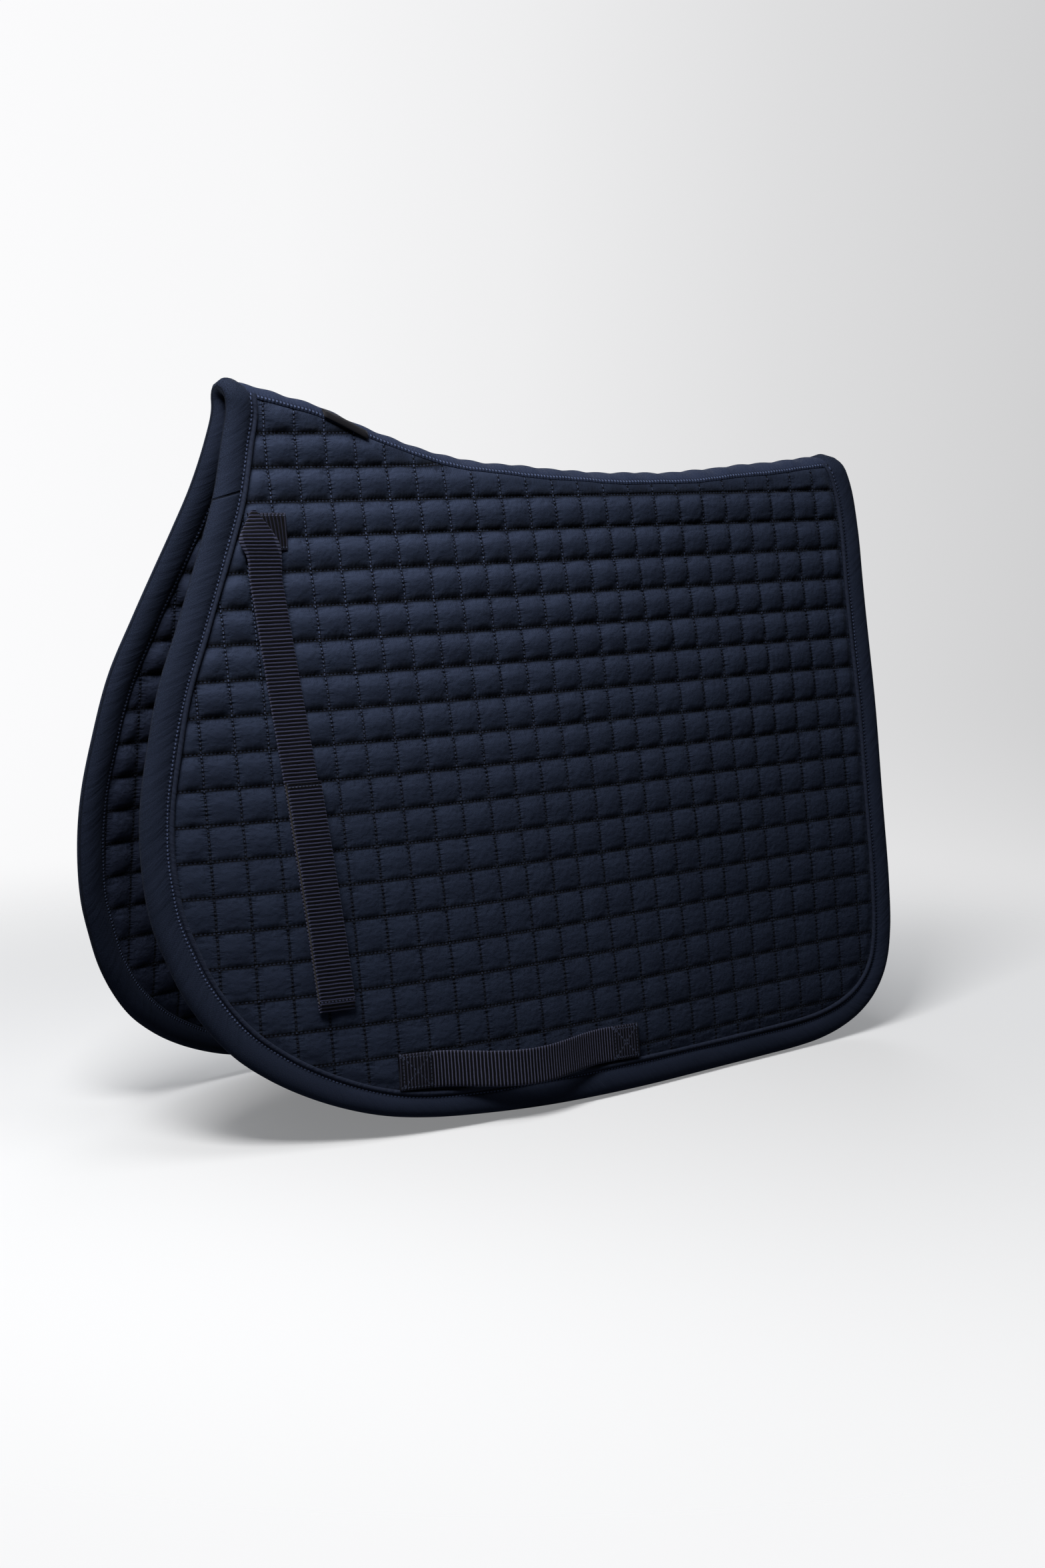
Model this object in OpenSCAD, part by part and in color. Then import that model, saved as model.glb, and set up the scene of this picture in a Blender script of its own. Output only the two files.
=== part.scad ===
// Quilted saddle pad: two padded flaps joined along a raised spine, with a
// webbing billet strap and a girth keeper on each side.  The pad stands on the
// lower edges of its flaps, front (withers peak) towards -X, left flap on -Y.

/* [Panel] */
// side of one quilting square
quilt_square = 25; // [15:1:50]
// thickness of the padded panel
panel_t = 11; // [6:0.5:16]
// thickness of the outer fabric and of the lining
fabric_t = 0.9; // [0.4:0.1:2]
// depth of a panel measured down the flap from the top of the front peak
panel_drop = 547.5; // [400:0.5:620]

/* [Stance] */
// lean of the flap from upright near the spine
lean_top = 15.3; // [0:0.1:40]
// lean of the flap from upright at its lower edge
lean_bottom = 9.3; // [0:0.1:40]
// half distance between the flaps 50 mm below the peak
spine_half = 10; // [4:0.5:30]
// even, squared and cubed parts of the sideways bow at the lower edge
bow = [15.7, 39.2, 33]; // [0:0.1:80]
// level of the 50 mm line above the ground
line_z = 486.6; // [300:0.1:600]

/* [Edge] */
// width of the edge binding on each face
binding_w = 18.5; // [8:0.5:30]
// thickness of the binding fabric
binding_t = 1.0; // [0.5:0.1:3]
// diameter of the piping cord
piping_d = 3.4; // [2:0.1:6]
// slack between the panel and the binding wrapped round it
binding_gap = 1.3; // [0.1:0.1:2]
// reach of the spine tape down each side of the spine
tape_reach = 6; // [4:0.5:20]

/* [Flap hinge] */
// distance down the flap of the line it folds on
fold_v = 92; // [80:1:130]
// gap kept on each side of the fold line at the outer face
fold_gap = 5; // [2:0.5:10]

/* [Webbing] */
// width of the webbing
web_w = 26; // [20:1:50]
// thickness of the webbing
web_t = 1.5; // [0.8:0.1:3]
// thickness of the hook and the loop tape
tape_t = 0.8; // [0.4:0.1:2]
// billet strap from its fold under the anchor to its lower end
billet_v = [127, 449.5]; // [100:0.5:540]
// lower part that is covered by the fastening tab
tab_v = [289, 447.5]; // [100:0.5:540]
// girth keeper along the flap, from end to end
keeper_u = [-173, 42]; // [-300:1:300]
// standing height of the keeper above the panel at its middle
keeper_rise = 15; // [5:1:30]

/* [Label] */
// small blank rubber label: length and height
label_size = [37, 3.6]; // [2:0.1:60]

/* [Hidden] */

cotton = [0.07, 0.09, 0.14];
trim = [0.08, 0.10, 0.16];
web = [0.16, 0.15, 0.19];
black = [0.04, 0.04, 0.05];
half_t = panel_t / 2;
span = 498;                 // flap length over which lean and bow develop
half_len = 346;
x_mid = 5.0;                // puts the origin under the middle of the pad
arch_h = 10;                // height of the rounded top of the spine
eps = 0.1;

// top line of the pad, distance along -> distance down from the peak
ridge = [[-252, 4.5], [-225, 10], [-200, 16.5], [-175, 23], [-150, 32], [-125, 41.5],
  [-100, 50.5], [-75, 58], [-50, 63.5], [-25, 67], [0, 69.5], [50, 74], [100, 77],
  [150, 78], [200, 75.5], [250, 72], [300, 68], [356, 63.5]];
// front and rear edge, distance down -> distance along
front = [[0, -249], [20, -248], [45, -253], [80, -263], [110, -275], [140, -288],
  [175, -303], [215, -320], [255, -331], [300, -340], [340, -342], [380, -338],
  [410, -329], [435, -319], [460, -304], [480, -287], [495, -268], [510, -243],
  [522, -217], [532, -185], [540, -132], [545, -60], [547.5, 60]];
rear = [[50, 334], [60, 342], [72, 348], [90, 351], [130, 352], [170, 350.5], [250, 349],
  [345, 347], [413, 346], [456, 345], [480, 341], [500, 334], [515, 324], [528, 308],
  [538, 286], [544, 262], [547, 225], [547.5, 60]];

function vr(u) = lookup(u, ridge);
function xf(v) = lookup(v, front);
function xr(v) = lookup(v, rear);
function mixv(a, b, t) = a + (b - a) * t;

// sideways distance of the middle surface before the spine is rounded
function side_y(u, v) = let (w = v - 50, U = u / half_len,
    s0 = sin(lean_top), s1 = sin(lean_bottom),
    y = spine_half + s0 * w - (s0 - s1) / (2 * span) * w * w
        - w / span * (bow[0] * U + bow[1] * U * U - bow[2] * U * U * U))
  0.5 * (y + 9 + sqrt((y - 9) * (y - 9) + 25));
function drop_z(v) = let (w = v - 50, c0 = cos(lean_top), c1 = cos(lean_bottom))
  line_z - (c0 * w + (c1 - c0) / (2 * span) * w * w);
function arch(w) = w >= arch_h ? 1 : sqrt(max(0, 1 - (1 - w / arch_h) * (1 - w / arch_h)));

// middle surface of the left flap, and a point at height h off its outer face
function mid(u, v) = [u - x_mid, -side_y(u, v), drop_z(v)];
function unit(a) = a / norm(a);
function nrm(u, v) = unit(cross(mid(u, v + 1) - mid(u, v - 1), mid(u + 1, v) - mid(u - 1, v)));
function pt(u, v, h) = mid(u, v) + h * nrm(u, v);

// ridge: q = 0 on the top line and grows to +1 far down the left side, -1 down the right
function wq(q) = 90 * (1 - cos(90 * abs(q)));
function qw(w) = acos(1 - w / 90) / 90;
function rmid(u, q) = let (w = wq(q), v = vr(u) + w)
  [u - x_mid, -sign(q) * side_y(u, v) * arch(w), drop_z(v)];
function rnrm(u, q) = unit(cross(rmid(u, q + 0.01) - rmid(u, q - 0.01), rmid(u + 1, q) - rmid(u - 1, q)));
function rpt(u, q, h) = rmid(u, q) + h * rnrm(u, q);

// closed solid through equal rings of points; the ends are closed in strips
module loft(rings) {
  n = len(rings[0]); m = len(rings); k = n / 2 - 1;
  polyhedron(points = [for (r = rings) each r], convexity = 6, faces = concat(
    [for (i = [0:m - 2], j = [0:n - 1]) let (a = i * n + j, b = i * n + (j + 1) % n) each
      j < n / 2 ? [[a, a + n, b], [b, a + n, b + n]] : [[a, a + n, b + n], [a, b + n, b]]],
    [for (j = [0:k - 1]) let (a = j, b = j + 1, c = n - 2 - j, d = n - 1 - j) each
      [[a, b, c], [a, c, d]]],
    [for (j = [0:k - 1]) let (s = (m - 1) * n, a = s + j, b = s + j + 1,
        c = s + n - 2 - j, d = s + n - 1 - j) each [[a, c, b], [a, d, c]]]));
}
module sided(s) { if (s < 0) children(); else mirror([0, 1, 0]) children(); }

// one layer of a flap between heights h0 and h1, starting at distance v0
flap_rows = [0, 0.08, 0.17, 0.27, 0.38, 0.5, 0.62, 0.73, 0.81, 0.87, 0.92, 0.95, 0.968, 0.98, 0.987,
  0.992, 0.996, 0.998, 1];
flap_cols = [0, 0.02, 0.05, 0.09, 0.14, 0.2, 0.28, 0.37, 0.47, 0.58, 0.69, 0.8, 0.9, 0.97, 1];
function in_front(v) = xf(min(panel_drop, v + 7)) + 5.5;
function in_rear(v) = xr(min(panel_drop, v + 7)) - 5.5;
module flap_layer(h0, h1, v0) {
  vs = concat([v0], [for (f = flap_rows) mixv(fold_v + 8, panel_drop - 7.5, f)]);
  loft([for (v = vs) let (a = in_front(v), b = in_rear(v))
    concat([for (c = flap_cols) pt(mixv(a, b, c), v, h1)],
           [for (j = [len(flap_cols) - 1:-1:0]) pt(mixv(a, b, flap_cols[j]), v, h0)])]);
}
// one layer of the ridge from the seam on the top line down to distance v1
module ridge_layer(h0, h1, v1) {
  fs = [0.012, 0.17, 0.34, 0.51, 0.68, 0.84];
  loft([for (i = [0:18]) let (us = mixv(-249, 346, i / 18), we = fold_v - fold_gap - vr(us),
      ws = concat([for (f = fs) we * f * f], [v1 - vr(us)]))
    concat([for (w = ws) ridge_at(i / 18, us, w, h1)],
           [for (j = [6:-1:0]) ridge_at(i / 18, us, ws[j], h0)])]);
}
function ridge_at(s, us, w, h) = let (v = vr(us) + w, u = mixv(xf(v) + 3, xr(v) - 3, s))
  rpt(u, qw(max(0.005, v - vr(u))), h);

// flat outline of a flap below the fold, walked from the front edge round to the rear
outline = concat([for (v = [0, 20, 45, 80, 115, 150, 190, 230, 260, 290, 310, 325, 345, 360, 375, 390])
      [xf(fold_v + 5.5 + v), fold_v + 5.5 + v]],
  [[-272, 492], [-258, 501], [-243, 510], [-217, 522], [-185, 531.5], [-150, 537.5],
   [-100, 542], [-50, 545], [0, 546.5], [60, 547.5], [120, 547.5], [180, 547.5],
   [225, 547], [250, 545], [275, 540.5], [295, 534], [311, 525.5], [323, 516], [332, 503]],
  [for (v = [390, 365, 330, 280, 230, 180, 130, 80, 40, 0]) [xr(fold_v + 5.5 + v), fold_v + 5.5 + v]]);
// distance d in from the outline at station i
function inward(i) = let (n = len(outline), a = outline[max(0, i - 1)], b = outline[min(n - 1, i + 1)],
    t = (b - a) / norm(b - a)) [t[1], -t[0]];
// the binding is narrower at the lower front curve, beside the keeper
function narrow(i) = outline[i][1] < 485 ? 0 : 4 * exp(-pow((outline[i][0] + 155) / 75, 2));
function along_edge(i, d, h) = let (p = outline[i] + d * inward(i)) pt(p[0], p[1], h);

module edge_binding() {
  a = half_t + binding_gap; b = a + binding_t;
  // outer chain then inner chain, so that the ends close in strips
  o = [[binding_w, b], [0, b], [0, -b], [binding_w, -b], [binding_w, -a], [1.6, -a], [1.6, a], [binding_w, a]];
  loft([for (i = [0:len(outline) - 1]) [for (s = o) along_edge(i, s[0] > 10 ? s[0] - narrow(i) : s[0], s[1])]]);
}
module edge_piping(i0, i1) {
  r = piping_d / 2; c = [binding_w + r + 0.8, half_t + r + 0.3];
  loft([for (i = [i0:i1]) [for (k = [0:7]) along_edge(i, c[0] - narrow(i) + r * cos(45 * k), c[1] - r * sin(45 * k))]]);
}
// binding over one end of the ridge; e is -1 at the front and 1 at the rear,
// f runs from -1 at the lower end on the right through 0 on the top line to 1 on the left
function end_w(e, f) = (fold_v - 5.5 - vr(e < 0 ? -252 : 348)) * f * f;
function end_pt(e, f, d, h) = let (v = vr(e < 0 ? -250 : 346) + end_w(e, f), u = (e < 0 ? xf(v) : xr(v)) - e * d)
  rpt(u, sign(f) * qw((fold_v - 5.5 - vr(u)) * f * f), h);
module ridge_binding(e) {
  a = half_t + binding_gap; b = a + binding_t;
  o = [[binding_w, b], [0, b], [0, -b], [binding_w, -b], [binding_w, -a], [1.6, -a], [1.6, a], [binding_w, a]];
  fs = [-1, -0.85, -0.7, -0.55, -0.42, -0.3, -0.15, 0, 0.15, 0.3, 0.42, 0.55, 0.7, 0.85, 1];
  loft([for (j = [0:14]) let (f = e < 0 ? fs[14 - j] : fs[j]) [for (s = o) end_pt(e, f, s[0], s[1])]]);
}
module ridge_piping(e) {
  r = piping_d / 2; c = [binding_w + r + 0.8, half_t + r + 0.3];
  fs = e < 0 ? [0.44, 0.55, 0.66, 0.77, 0.88, 0.97] : [0.78, 0.85, 0.92, 0.97];
  n = len(fs);
  loft([for (j = [0:n - 1]) let (f = e < 0 ? fs[n - 1 - j] : fs[j]) [for (k = [0:7])
      end_pt(e, f, c[0] + r * cos(45 * k), c[1] - r * sin(45 * k))]]);
}
// tape over the spine seam, between heights h0 and h1, down to tw on each side
module spine_tape(h0, h1, tw) {
  fs = [-1, -0.75, -0.5, -0.25, 0, 0.25, 0.5, 0.75, 1];
  a = -249 + binding_w + 3; b = 342 - binding_w - 3;
  loft([for (i = [0:22]) let (u = mixv(a, b, i / 22))
    concat([for (f = fs) rpt(u, sign(f) * qw(tw * f * f), h1)],
           [for (j = [8:-1:0]) rpt(u, sign(fs[j]) * qw(tw * fs[j] * fs[j]), h0)])]);
}

// strip lying down the flap, centred on the strap's own line
function strap_u(v) = -236 + (v - 125) * 0.06;
module down_strip(v0, v1, h0, h1, wd) {
  n = max(2, ceil((v1 - v0) / 24));
  loft([for (i = [0:n]) let (v = mixv(v0, v1, i / n), u = strap_u(v))
    [pt(u - wd / 2, v, h1), pt(u + wd / 2, v, h1), pt(u + wd / 2, v, h0), pt(u - wd / 2, v, h0)]]);
}
h_web = half_t + 0.7;       // underside of the hanging strap
h_loop = h_web + web_t + eps;
h_hook = h_loop + tape_t + eps;
h_tab = h_hook + tape_t + eps;

function keeper_h(s) = half_t + 0.4 + (s < 0.125 || s > 0.875 ? 0
    : keeper_rise * pow(sin((s - 0.125) / 0.75 * 180), 2));
function keeper_v(s) = 500 + 9.5 * s;
module keeper() {
  n = 24;
  loft([for (i = [0:n]) let (s = i / n, u = mixv(keeper_u[0], keeper_u[1], s), v = keeper_v(s), h = keeper_h(s))
    [pt(u, v - web_w / 2, h + web_t), pt(u, v - web_w / 2, h), pt(u, v + web_w / 2, h), pt(u, v + web_w / 2, h + web_t)]]);
}

module spine_tape_outer() color(trim) spine_tape(half_t + 0.7, half_t + 1.5, tape_reach);
module spine_tape_inner() color(trim) spine_tape(-half_t - 1.6, -half_t - 0.8, tape_reach - 2);
// blank rubber label under the edge of the tape
module spine_label() color(black)
  loft([for (i = [0:4]) let (u = -171 + label_size[0] * i / 4, w0 = 6.7, w1 = w0 + label_size[1])
    [rmix(u, w0, half_t + 2), rmix(u, w1, half_t + 2), rmix(u, w1, half_t + 0.3), rmix(u, w0, half_t + 0.3)]]);
function rmix(u, w, h) = rpt(u, qw(w), h);

module shell_top() ridge_layer(half_t - fabric_t, half_t, fold_v - fold_gap);
module padding_top() ridge_layer(-half_t + fabric_t + eps, half_t - fabric_t - eps, fold_v - fold_gap + 1);
module lining_top() ridge_layer(-half_t, -half_t + fabric_t, fold_v - 1);
module left_ridge_shell() color(cotton) shell_top();
module left_ridge_padding() color([0.9, 0.9, 0.88]) padding_top();
module left_ridge_lining() color(cotton) lining_top();
module right_ridge_shell() color(cotton) sided(1) shell_top();
module right_ridge_padding() color([0.9, 0.9, 0.88]) sided(1) padding_top();
module right_ridge_lining() color(cotton) sided(1) lining_top();
module front_ridge_binding() color(trim) ridge_binding(-1);
module rear_ridge_binding() color(trim) ridge_binding(1);
module left_ridge_piping() color(trim) { ridge_piping(-1); ridge_piping(1); }
module right_ridge_piping() color(trim) sided(1) { ridge_piping(-1); ridge_piping(1); }

module outer_shell(s) color(cotton) sided(s) flap_layer(half_t - fabric_t, half_t, fold_v + fold_gap);
module padding(s) color([0.9, 0.9, 0.88]) sided(s)
  flap_layer(-half_t + fabric_t + eps, half_t - fabric_t - eps, fold_v + fold_gap - 1);
module lining(s) color(cotton) sided(s) flap_layer(-half_t, -half_t + fabric_t, fold_v + 1);
module binding(s) color(trim) sided(s) edge_binding();
module piping(s) color(trim) sided(s) edge_piping(1, len(outline) - 2);
module girth_keeper(s) color(web) sided(s) keeper();
module strap_anchor(s) color(web) sided(s) down_strip(98, 125.5, half_t + eps, half_t + 2.9, web_w + 1);
module billet_strap(s) color(web) sided(s) down_strip(billet_v[0], billet_v[1], h_web, h_web + web_t, web_w);
module loop_tape(s) color(black) sided(s) down_strip(tab_v[0], tab_v[1], h_loop, h_loop + tape_t, web_w - 1);
module hook_tape(s) color(black) sided(s) down_strip(tab_v[0] + 1, tab_v[1], h_hook, h_hook + tape_t, web_w - 1);
module tab_webbing(s) color(web) sided(s) down_strip(tab_v[0], tab_v[1] + 2, h_tab, h_tab + web_t, web_w);

spine_tape_outer();
spine_tape_inner();
spine_label();
left_ridge_shell();
left_ridge_padding();
left_ridge_lining();
right_ridge_shell();
right_ridge_padding();
right_ridge_lining();
front_ridge_binding();
rear_ridge_binding();
left_ridge_piping();
right_ridge_piping();
outer_shell(-1);  // left_outer_shell
padding(-1);  // left_padding
lining(-1);  // left_lining
binding(-1);  // left_binding
piping(-1);  // left_piping
girth_keeper(-1);  // left_girth_keeper
strap_anchor(-1);  // left_strap_anchor
billet_strap(-1);  // left_billet_strap
loop_tape(-1);  // left_loop_tape
tab_webbing(-1);  // left_tab_webbing
hook_tape(-1);  // left_hook_tape
outer_shell(1);  // right_outer_shell
padding(1);  // right_padding
lining(1);  // right_lining
binding(1);  // right_binding
piping(1);  // right_piping
girth_keeper(1);  // right_girth_keeper
strap_anchor(1);  // right_strap_anchor
billet_strap(1);  // right_billet_strap
loop_tape(1);  // right_loop_tape
tab_webbing(1);  // right_tab_webbing
hook_tape(1);  // right_hook_tape
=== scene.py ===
import bpy, math
import numpy as np
from mathutils import Vector, Matrix
from mathutils.kdtree import KDTree


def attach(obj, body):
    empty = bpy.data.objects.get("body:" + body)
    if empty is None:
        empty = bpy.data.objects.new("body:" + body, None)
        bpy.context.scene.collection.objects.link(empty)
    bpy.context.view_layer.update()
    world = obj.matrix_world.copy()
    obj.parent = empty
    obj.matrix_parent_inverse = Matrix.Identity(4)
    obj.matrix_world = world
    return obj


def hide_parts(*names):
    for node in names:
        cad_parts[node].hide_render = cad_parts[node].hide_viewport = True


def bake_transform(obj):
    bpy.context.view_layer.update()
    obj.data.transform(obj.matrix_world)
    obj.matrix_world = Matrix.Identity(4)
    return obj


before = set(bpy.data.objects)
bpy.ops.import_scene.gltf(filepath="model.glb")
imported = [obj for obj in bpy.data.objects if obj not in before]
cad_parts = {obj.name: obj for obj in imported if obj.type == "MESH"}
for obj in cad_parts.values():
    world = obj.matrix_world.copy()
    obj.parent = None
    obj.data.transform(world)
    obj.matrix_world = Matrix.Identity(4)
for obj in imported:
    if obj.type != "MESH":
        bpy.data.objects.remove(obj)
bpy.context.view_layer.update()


SCENE = bpy.context.scene
sin = lambda d: np.sin(np.radians(d))
cos = lambda d: np.cos(np.radians(d))

# ---------------------------------------------------------------- the surface
# Flat coordinates of a flap in mm: u along the pad, v down from the front peak,
# w down from the spine, h outwards from the middle of the panel.
SQ = 25.0
LT, LB, SH, BOW, LZ, SPAN, HL, XM, AH = 15.3, 9.3, 10.0, (15.7, 39.2, 33.0), 486.6, 498.0, 346.0, 5.0, 10.0
RIDGE = [(-252, 4.5), (-225, 10), (-200, 16.5), (-175, 23), (-150, 32), (-125, 41.5), (-100, 50.5),
         (-75, 58), (-50, 63.5), (-25, 67), (0, 69.5), (50, 74), (100, 77), (150, 78), (200, 75.5),
         (250, 72), (300, 68), (356, 63.5)]
EDGE = [(-249.5, 5), (-248, 22), (-253, 45), (-263, 80), (-275, 110), (-288, 140), (-303, 175), (-320, 215),
        (-331, 255), (-340, 300), (-342, 340), (-338, 380), (-329, 410), (-319, 435), (-304, 460), (-287, 480),
        (-266, 496.5), (-243, 510), (-215, 522.3), (-185, 531.5), (-150, 537.5), (-100, 542), (-50, 545),
        (0, 546.5), (60, 547.5), (120, 547.6), (180, 547.5), (225, 547), (252, 545), (277, 540), (298, 532),
        (315, 521), (328, 507), (337, 490), (343, 465), (345.5, 430), (347, 345), (349, 250), (350.5, 170),
        (352, 125), (351, 92), (347.5, 76), (342.5, 64.4)]


def pchip(pts):
    xs, ys = np.array(pts, float).T
    h = np.diff(xs); d = np.diff(ys) / h
    m = np.zeros_like(ys); m[0] = d[0]; m[-1] = d[-1]
    for i in range(1, len(xs) - 1):
        if d[i - 1] * d[i] > 0:
            a, b = 2 * h[i] + h[i - 1], h[i] + 2 * h[i - 1]
            m[i] = (a + b) / (a / d[i - 1] + b / d[i])

    def f(x):
        x = np.clip(x, xs[0], xs[-1])
        k = np.clip(np.searchsorted(xs, x) - 1, 0, len(xs) - 2)
        t = (x - xs[k]) / h[k]
        return ((1 + 2 * t) * (1 - t) ** 2 * ys[k] + t * (1 - t) ** 2 * h[k] * m[k]
                + t * t * (3 - 2 * t) * ys[k + 1] + t * t * (t - 1) * h[k] * m[k + 1])
    return f


vr = pchip(RIDGE)


def smooth(x, a, b):
    t = np.clip((x - a) / (b - a), 0, 1)
    return t * t * (3 - 2 * t)


def side_y(u, v):
    w = v - 50; U = u / HL
    y = SH + sin(LT) * w - (sin(LT) - sin(LB)) / (2 * SPAN) * w * w - w / SPAN * (BOW[0] * U + BOW[1] * U * U - BOW[2] * U ** 3)
    return 0.5 * (y + 9 + np.sqrt((y - 9) ** 2 + 25))


def drop_z(v):
    w = v - 50
    return LZ - (cos(LT) * w + (cos(LB) - cos(LT)) / (2 * SPAN) * w * w)


def surf(u, q, side):
    """Middle surface at q, the signed root of w / 90."""
    w = 90 * q * q
    v = vr(u) + w
    arch = np.sqrt(np.clip(1 - (1 - np.minimum(w, AH) / AH) ** 2, 0, 1))
    return np.stack([u - XM, side * np.sign(q) * side_y(u, v) * arch, drop_z(v)], -1)


def sway(u, v, side):
    """Slow unevenness of the soft panel, in mm, the same for every layer of a side."""
    k = 1.0 if side < 0 else 1.7
    return (0.55 * np.sin(u / 61.0 + 1.3 * k) * np.sin(v / 83.0 + 0.4 * k) + 0.35 * np.sin(u / 29.0 + v / 47.0 + 2.1 * k)
            + 0.25 * np.sin(v / 23.0 - u / 71.0 + 0.7 * k))


def place(u, w, h, side):
    """Point at (u, w) raised by h; w may be negative, on the other side of the spine."""
    u, w, h = np.broadcast_arrays(np.asarray(u, float), np.asarray(w, float), np.asarray(h, float))
    q = np.sign(w) * np.sqrt(np.abs(w) / 90)
    q = np.where(np.abs(q) < 1e-5, 1e-5, q)
    e = 0.01
    n = np.cross(surf(u, q + e, side) - surf(u, q - e, side), surf(u + 1, q, side) - surf(u - 1, q, side))
    n /= np.linalg.norm(n, axis=-1, keepdims=True)
    if side > 0:
        n = -n
    hh = h + sway(u, vr(u) + np.abs(w), side) * smooth(np.abs(w), 12, 90)
    return surf(u, q, side) + hh[..., None] * n


def at(u, v, h, side):
    u = np.asarray(u, float)
    return place(u, np.asarray(v, float) - vr(u), h, side)


# outline of a flap, from the spine at the front round to the spine at the rear
def outline_path(step=2.5):
    p = np.array(EDGE, float)
    p = np.vstack([2 * p[0] - p[1], p, 2 * p[-1] - p[-2]])
    out = []
    for i in range(1, len(p) - 2):
        a, b, c, d = p[i - 1], p[i], p[i + 1], p[i + 2]
        t1 = np.linalg.norm(b - a) ** 0.5; t2 = t1 + np.linalg.norm(c - b) ** 0.5; t3 = t2 + np.linalg.norm(d - c) ** 0.5
        for t in np.linspace(t1, t2, 40, endpoint=False):
            a1 = (t1 - t) / t1 * a + t / t1 * b
            a2 = (t2 - t) / (t2 - t1) * b + (t - t1) / (t2 - t1) * c
            a3 = (t3 - t) / (t3 - t2) * c + (t - t2) / (t3 - t2) * d
            b1 = (t2 - t) / t2 * a1 + t / t2 * a2
            b2 = (t3 - t) / (t3 - t1) * a2 + (t - t1) / (t3 - t1) * a3
            out.append((t2 - t) / (t2 - t1) * b1 + (t - t1) / (t2 - t1) * b2)
    out.append(p[-2])
    out = np.array(out)
    s = np.r_[0, np.cumsum(np.linalg.norm(np.diff(out, axis=0), axis=1))]
    n = int(round(s[-1] / step))
    ss = np.linspace(0, s[-1], n + 1)
    q = np.stack([np.interp(ss, s, out[:, 0]), np.interp(ss, s, out[:, 1])], 1)
    t = np.gradient(q, axis=0)
    for _ in range(3):
        t[1:-1] = (t[:-2] + 2 * t[1:-1] + t[2:]) / 4
    t /= np.linalg.norm(t, axis=1, keepdims=True)
    return ss, q, np.stack([t[:, 1], -t[:, 0]], 1)


ES, EP, EN = outline_path()
EW0 = EP[:, 1] - vr(EP[:, 0])
EW0[0] = EW0[-1] = 0.0
EW0 = np.maximum(EW0, 0)


def off_edge(k, d):
    """(u, w) at distance d in from outline station k; near the spine the offset runs along the spine."""
    d = np.asarray(d, float)
    free = smooth(EW0[k], 6, 45)
    front = np.where(k < len(ES) // 2, 1.0, -1.0)
    nu = EN[k, 0] * free + front * (1 - free)
    u = EP[k, 0] + nu * d
    w = free * (EP[k, 1] + EN[k, 1] * d - vr(u)) + (1 - free) * EW0[k]
    return u, w


NARROW = np.where(EP[:, 1] < 480, 0.0, 4.0 * np.exp(-((EP[:, 0] + 155) / 75) ** 2)) * smooth(EP[:, 1], 480, 505)
KD = KDTree(len(EP))
for i, p in enumerate(EP):
    KD.insert((p[0], p[1], 0), i)
KD.balance()


def edge_distance(u, v):
    uu, vv = np.ravel(u), np.ravel(v)
    out = np.empty(len(uu))
    for i in range(len(uu)):
        co, k, d = KD.find((uu[i], vv[i], 0))
        a = (uu[i] - EP[k, 0]) * EN[k, 0] + (vv[i] - EP[k, 1]) * EN[k, 1]
        out[i] = max(-40.0, min(40.0, a + NARROW[k] * min(1.0, max(0.0, a / 12))))
    return out.reshape(np.shape(u))


# ---------------------------------------------------------------- materials
def lin(r, g, b):
    f = lambda c: c / 12.92 if c <= 0.04045 else ((c + 0.055) / 1.055) ** 2.4
    return (f(r / 255), f(g / 255), f(b / 255), 1)


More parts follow.
